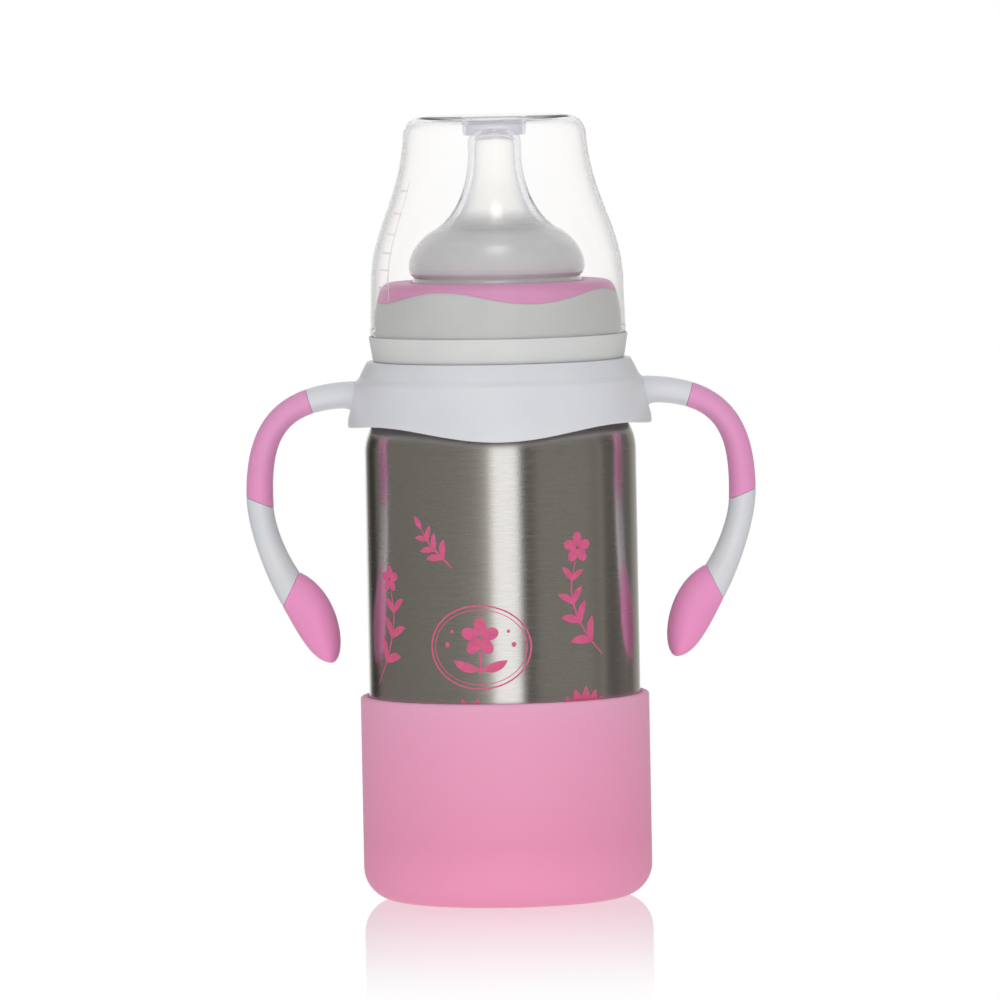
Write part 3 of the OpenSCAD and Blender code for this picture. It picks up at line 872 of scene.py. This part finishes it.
class Print:
    """Thin closed patches of ink on the steel. Places are (arc length to the right of the
    front's middle, height), both in millimetres."""

    def __init__(self, name):
        self.name = name
        self.points = []
        self.faces = []
        self.count = 0

    def patch(self, rows, around=False):
        """A grid of points as a thin solid; around closes the grid on itself."""
        self.count += 1
        top = SHELL_R + INK_T - 0.0006 * (self.count % 9)
        n, m = len(rows), len(rows[0])
        first = len(self.points)
        for radius in (SHELL_R - 0.02, top):
            for row in rows:
                for s, z in row:
                    a = s / SHELL_R
                    self.points.append((radius * math.sin(a), -radius * math.cos(a), z))

        def index(layer, i, j):
            return first + layer * n * m + (i % n) * m + j

        spans = n if around else n - 1
        for i in range(spans):
            for j in range(m - 1):
                for layer in (0, 1):
                    self.faces.append((index(layer, i, j), index(layer, i, j + 1),
                                       index(layer, i + 1, j + 1), index(layer, i + 1, j)))
            for j in (0, m - 1):
                self.faces.append((index(0, i, j), index(0, i + 1, j),
                                   index(1, i + 1, j), index(1, i, j)))
        if not around:
            for i in (0, n - 1):
                for j in range(m - 1):
                    self.faces.append((index(0, i, j), index(0, i, j + 1),
                                       index(1, i, j + 1), index(1, i, j)))

    def ribbon(self, points, width, steps=8):
        """A stroke through points; width is a number or a function of 0 to 1 along it."""
        line = smooth(points, steps)
        wide = width if callable(width) else (lambda t: width)
        across = 2 + round(max(wide(k / 10) for k in range(11)) / 0.9)
        rows = []
        for i, p in enumerate(line):
            ahead = line[min(i + 1, len(line) - 1)] - line[max(i - 1, 0)]
            normal = Vector((-ahead.y, ahead.x)).normalized()
            half = max(0.02, wide(i / (len(line) - 1)) / 2)
            rows.append([tuple(p + normal * half * (2 * j / across - 1))
                         for j in range(across + 1)])
        self.patch(rows)

    def leaf(self, base, tip, width, bend=0.0, fullest=0.42):
        """A pointed leaf, bent sideways by bend millimetres."""
        b, t = Vector(base), Vector(tip)
        side = Vector((-(t - b).y, (t - b).x)).normalized()
        power = math.log(0.5) / math.log(fullest)
        self.ribbon([b, b.lerp(t, 0.35) + side * bend, b.lerp(t, 0.7) + side * bend * 0.9, t],
                    lambda u: width * math.sin(math.pi * u ** power) ** 0.85, 7)

    def oval(self, centre, rx, rz, inner=0.0, turn=0.0):
        """A filled oval, or an oval band whose opening is inner times its size."""
        rows = []
        c, s = math.cos(math.radians(turn)), math.sin(math.radians(turn))
        across = 1 + round(max(rx, rz) * (1 - inner) / 0.9)
        for i in range(48):
            a = 2 * math.pi * i / 48
            row = []
            for j in range(across + 1):
                k = max(0.004, inner + (1 - inner) * j / across)
                x, y = rx * k * math.cos(a), rz * k * math.sin(a)
                row.append((centre[0] + x * c - y * s, centre[1] + x * s + y * c))
            rows.append(row)
        self.patch(rows, around=True)

    def finish(self):
        """The patches as one piece on the bottle."""
        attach(add_mesh(self.name, self.points, self.faces, INK), "bottle")


def tapered(width):
    """A stroke's width that thins towards both of its ends."""
    return lambda t: width * (0.35 + 0.65 * math.sin(math.pi * min(1, max(0, t))) ** 0.5)


def blossom(art, centre, size):
    """Plain flower of five oval petals round a small ring."""
    for k in range(5):
        a = math.radians(90 + 72 * k)
        petal = (centre[0] + size * math.cos(a), centre[1] + size * math.sin(a))
        art.oval(petal, 0.74 * size, 0.56 * size, 0.0, math.degrees(a))
    art.oval(centre, 0.43 * size, 0.43 * size, 0.45)


def sprig_print(name, stem, pairs, leaf_length, flower=0.0):
    """Plain sprig: a curved stem with leaves in pairs, and a flower or a bud at its tip."""
    art = Print(name)
    art.ribbon(stem, tapered(0.45))
    line = smooth(stem)
    for k in range(pairs):
        i = round((len(line) - 1) * (k + 1) / (pairs + 1))
        along = (line[i + 1] - line[i - 1]).normalized()
        across = Vector((-along.y, along.x))
        length = leaf_length * (1 - 0.1 * k)
        for side in (-1, 1):
            tip = line[i] + (along * 0.72 + across * 0.7 * side) * length
            art.leaf(line[i], tip, 0.34 * length, -0.08 * length * side, 0.5)
    ahead = (line[-1] - line[-2]).normalized()
    if flower:
        blossom(art, tuple(line[-1] + ahead * 1.5 * flower), flower)
    else:
        art.leaf(line[-1], line[-1] + ahead * 0.8 * leaf_length, 0.3 * leaf_length, 0.0, 0.5)
    art.finish()


def badge_print():
    """Oval frame with a plain five-petalled flower and two leaves."""
    art = Print("print_badge")
    x, z = -5.8, 63.4
    art.oval((x, z), 12.6, 10.2, 0.965)
    art.oval((x, z), 11.5, 9.1, 0.98)
    blossom(art, (x, z + 2.4), 2.7)
    art.ribbon([(x, z - 1.2), (x + 0.2, z - 3.6), (x - 0.1, z - 6.6)], 0.5)
    art.leaf((x, z - 5.4), (x - 6.6, z - 3.2), 2.3, 0.5, 0.5)
    art.leaf((x, z - 5.4), (x + 6.6, z - 3.2), 2.3, -0.5, 0.5)
    for side in (-1, 1):
        art.oval((x + side * 8.2, z + 0.6), 0.6, 0.6)
        art.oval((x + side * 6.9, z + 3.8), 0.42, 0.42)
    art.finish()


def foot_print():
    """Leaf tips that rise from behind the boot."""
    art = Print("print_foot")
    for tip, width in (((15.2, 50.9), 2.2), ((17.6, 52.6), 2.4), ((20.9, 53.2), 2.4),
                       ((24.0, 52.3), 2.4), ((26.4, 50.6), 2.2)):
        art.leaf((20.6, 44.0), tip, width, 0.0, 0.6)
    art.leaf((-8.6, 46.5), (-10.6, 50.9), 1.4, 0.0, 0.6)
    art.leaf((-8.2, 46.5), (-6.4, 51.0), 1.4, 0.0, 0.6)
    art.finish()


sprig_print("print_sprig_1", [(-12.4, 82.4), (-15.2, 85.2), (-18.2, 88.0), (-20.6, 91.6)], 3, 4.8)
sprig_print("print_sprig_2", [(-38.5, 53.5), (-34.4, 59.0), (-31.6, 65.0), (-30.6, 71.0),
                              (-31.6, 76.5)], 3, 6.4, 1.9)
sprig_print("print_sprig_3", [(26.4, 60.5), (22.0, 65.0), (18.6, 70.6), (17.2, 77.0),
                              (18.4, 83.4)], 4, 6.2, 2.2)
badge_print()
foot_print()


# ---------------------------------------------------------------- studio

LENS = 356.1
CAMERA_AT = Vector((-0.0003, -2.4, 0.2406))
CAMERA_AIM = Vector((-0.0003, 0, 0.0968))
CAMERA_ROLL = -1.1
FLOOR_R = 600
FLOOR_Z = -0.02
FLOOR_MIRROR = 0.58
FLOOR_FADE = (-0.02, 0.26)
WARM = (1.0, 0.945, 0.86)
WHITE = (1.0, 1.0, 1.0, 1)
STUDIO_ENDS = (0.85, 0.85, 0.85, 1)
LAMP_X = 0.02
LAMP_Y = -0.42
LAMP_EDGE = (0.05, 0.33)
LAMP_LEVEL = 6

# Reflectors round the bottle: degrees to the right of the front, and level
STUDIO = [
    (-180, 1.0), (-164, 1.0), (-160, 0.31), (-149, 0.05), (-138, 0.05), (-131, 0.19),
    (-100, 0.21), (-40, 0.235), (-24, 0.29), (-18, 0.36), (-12, 0.5), (-6, 1.3), (11, 1.3),
    (14, 1.05), (17, 0.26), (21, 0.08), (27, 0.16), (33, 0.235), (78, 0.25), (88, 0.2),
    (94, 0.28), (99, 0.15), (108, 0.12), (128, 0.18), (138, 0.14), (148, 0.3), (160, 0.42),
    (167, 0.6), (171, 1.0), (180, 1.0)]


def add_camera():
    """Long lens at the front, a little above the bottle and rolled by about one degree."""
    data = bpy.data.cameras.new("camera")
    data.sensor_width = 36
    data.lens = LENS
    data.clip_start = 0.1
    data.clip_end = 50
    camera = bpy.data.objects.new("camera", data)
    bpy.context.scene.collection.objects.link(camera)
    camera.location = CAMERA_AT
    roll = Matrix.Rotation(math.radians(CAMERA_ROLL), 3, "Z")
    turn = (CAMERA_AIM - CAMERA_AT).to_track_quat("-Z", "Y").to_matrix() @ roll
    camera.rotation_euler = turn.to_euler()
    bpy.context.scene.camera = camera


def floor_material():
    """White floor that mirrors the bottle faintly near its foot."""
    material = bpy.data.materials.new("floor")
    material.use_nodes = True
    tree = material.node_tree
    tree.nodes.clear()
    output = tree.nodes.new("ShaderNodeOutputMaterial")
    glow = tree.nodes.new("ShaderNodeEmission")
    gloss = tree.nodes.new("ShaderNodeBsdfGlossy")
    gloss.inputs["Color"].default_value = WHITE
    gloss.inputs["Roughness"].default_value = 0.02
    mix = tree.nodes.new("ShaderNodeMixShader")
    position = tree.nodes.new("ShaderNodeTexCoord")
    length = tree.nodes.new("ShaderNodeVectorMath")
    length.operation = "LENGTH"
    fade = tree.nodes.new("ShaderNodeMapRange")
    fade.interpolation_type = "SMOOTHSTEP"
    fade.inputs["From Min"].default_value, fade.inputs["From Max"].default_value = FLOOR_FADE
    fade.inputs["To Min"].default_value = FLOOR_MIRROR
    fade.inputs["To Max"].default_value = 0.0
    tree.links.new(position.outputs["Object"], length.inputs[0])
    tree.links.new(length.outputs["Value"], fade.inputs["Value"])
    tree.links.new(fade.outputs["Result"], mix.inputs["Fac"])
    tree.links.new(glow.outputs["Emission"], mix.inputs[1])
    tree.links.new(gloss.outputs["BSDF"], mix.inputs[2])
    tree.links.new(mix.outputs["Shader"], output.inputs["Surface"])
    return material


def add_floor():
    """Round white floor under the bottle."""
    points = [(FLOOR_R * math.cos(a), FLOOR_R * math.sin(a), FLOOR_Z)
              for a in (2 * math.pi * i / 96 for i in range(96))]
    floor = add_mesh("floor", points, [tuple(range(96))], floor_material())
    if floor.data.polygons[0].normal.z < 0:
        floor.data.flip_normals()
    floor.visible_glossy = False


def add_world():
    """White backdrop for the eye and through clear pieces, a soft front-lit dome for matte
    surfaces, and the studio's bright strip, grey room and dark flags for glossy ones."""
    world = bpy.data.worlds.new("studio")
    bpy.context.scene.world = world
    world.use_nodes = True
    world.cycles.sampling_method = "NONE"
    tree = world.node_tree
    tree.nodes.clear()

    def math_node(operation, a, b=None):
        node = tree.nodes.new("ShaderNodeMath")
        node.operation = operation
        for socket, value in zip(node.inputs, (a, b)):
            if isinstance(value, (int, float)):
                socket.default_value = value
            elif value is not None:
                tree.links.new(value, socket)
        return node.outputs["Value"]

    def eased(value, low, high, to_low, to_high):
        result = ranged(world, value, to_low, to_high, None, low, high)
        result.node.interpolation_type = "SMOOTHSTEP"
        return result

    def grey(level):
        node = tree.nodes.new("ShaderNodeCombineXYZ")
        for socket in node.inputs:
            tree.links.new(level, socket)
        return node.outputs["Vector"]

    def blended(factor, a, b):
        node = tree.nodes.new("ShaderNodeMixRGB")
        tree.links.new(factor, node.inputs["Fac"])
        for socket, value in ((node.inputs["Color1"], a), (node.inputs["Color2"], b)):
            if isinstance(value, tuple):
                socket.default_value = value
            else:
                tree.links.new(value, socket)
        return node.outputs["Color"]

    direction = tree.nodes.new("ShaderNodeTexCoord")
    split = tree.nodes.new("ShaderNodeSeparateXYZ")
    tree.links.new(direction.outputs["Generated"], split.inputs["Vector"])
    x, y, z = split.outputs["X"], split.outputs["Y"], split.outputs["Z"]
    forward = math_node("MULTIPLY", y, -1.0)

    # the studio: reflectors round the bottle, the dim ones warmer, and bright ends above and below
    stops = []
    for degrees, level in STUDIO:
        share = min(1, max(0, (level - 0.3) / 0.5))
        stops.append(((degrees + 180) / 360, [level * (w + (1 - w) * share) for w in WARM] + [1]))
    turn = ranged(world, math_node("ARCTAN2", x, forward), 0, 1, None, -math.pi, math.pi)
    ends = math_node("MAXIMUM", eased(z, 0.62, 0.85, 0, 1), eased(z, -0.55, -0.8, 0, 1))
    mirror = blended(ends, tones(world, turn, stops), STUDIO_ENDS)

    # the dome: most of the light from the front, some from above and behind
    level = 0.28
    for side, strength in ((forward, 1.18), (y, 0.4), (z, 0.5)):
        part = math_node("POWER", math_node("MAXIMUM", side, 0.0), 2.0)
        level = math_node("ADD", math_node("MULTIPLY", part, strength), level)

    # a round lamp above the front, for what is seen through a clear piece
    aside = math_node("SUBTRACT", x, LAMP_X)
    up = math_node("SUBTRACT", y, LAMP_Y)
    reach = math_node("SQRT", math_node("ADD", math_node("MULTIPLY", aside, aside),
                                        math_node("MULTIPLY", up, up)))
    lamp = math_node("MULTIPLY", eased(reach, *LAMP_EDGE, LAMP_LEVEL, 0),
                     math_node("GREATER_THAN", z, 0.0))

    # which of them a ray meets depends on what it has left: nothing, glass, gloss or matte
    ray = tree.nodes.new("ShaderNodeLightPath")
    matte = math_node("MINIMUM", ray.outputs["Diffuse Depth"], 1.0)
    passed = math_node("MULTIPLY", ray.outputs["Is Transmission Ray"],
                       math_node("SUBTRACT", 1.0, matte))
    seen = math_node("MAXIMUM", ray.outputs["Is Camera Ray"], passed)
    shown = blended(seen, blended(matte, mirror, grey(level)), WHITE)
    total = tree.nodes.new("ShaderNodeVectorMath")
    total.operation = "ADD"
    tree.links.new(shown, total.inputs[0])
    tree.links.new(grey(math_node("MULTIPLY", lamp, passed)), total.inputs[1])
    background = tree.nodes.new("ShaderNodeBackground")
    output = tree.nodes.new("ShaderNodeOutputWorld")
    tree.links.new(total.outputs["Vector"], background.inputs["Color"])
    tree.links.new(background.outputs["Background"], output.inputs["Surface"])


add_camera()
add_floor()
add_world()
bpy.context.scene.view_settings.view_transform = "Standard"
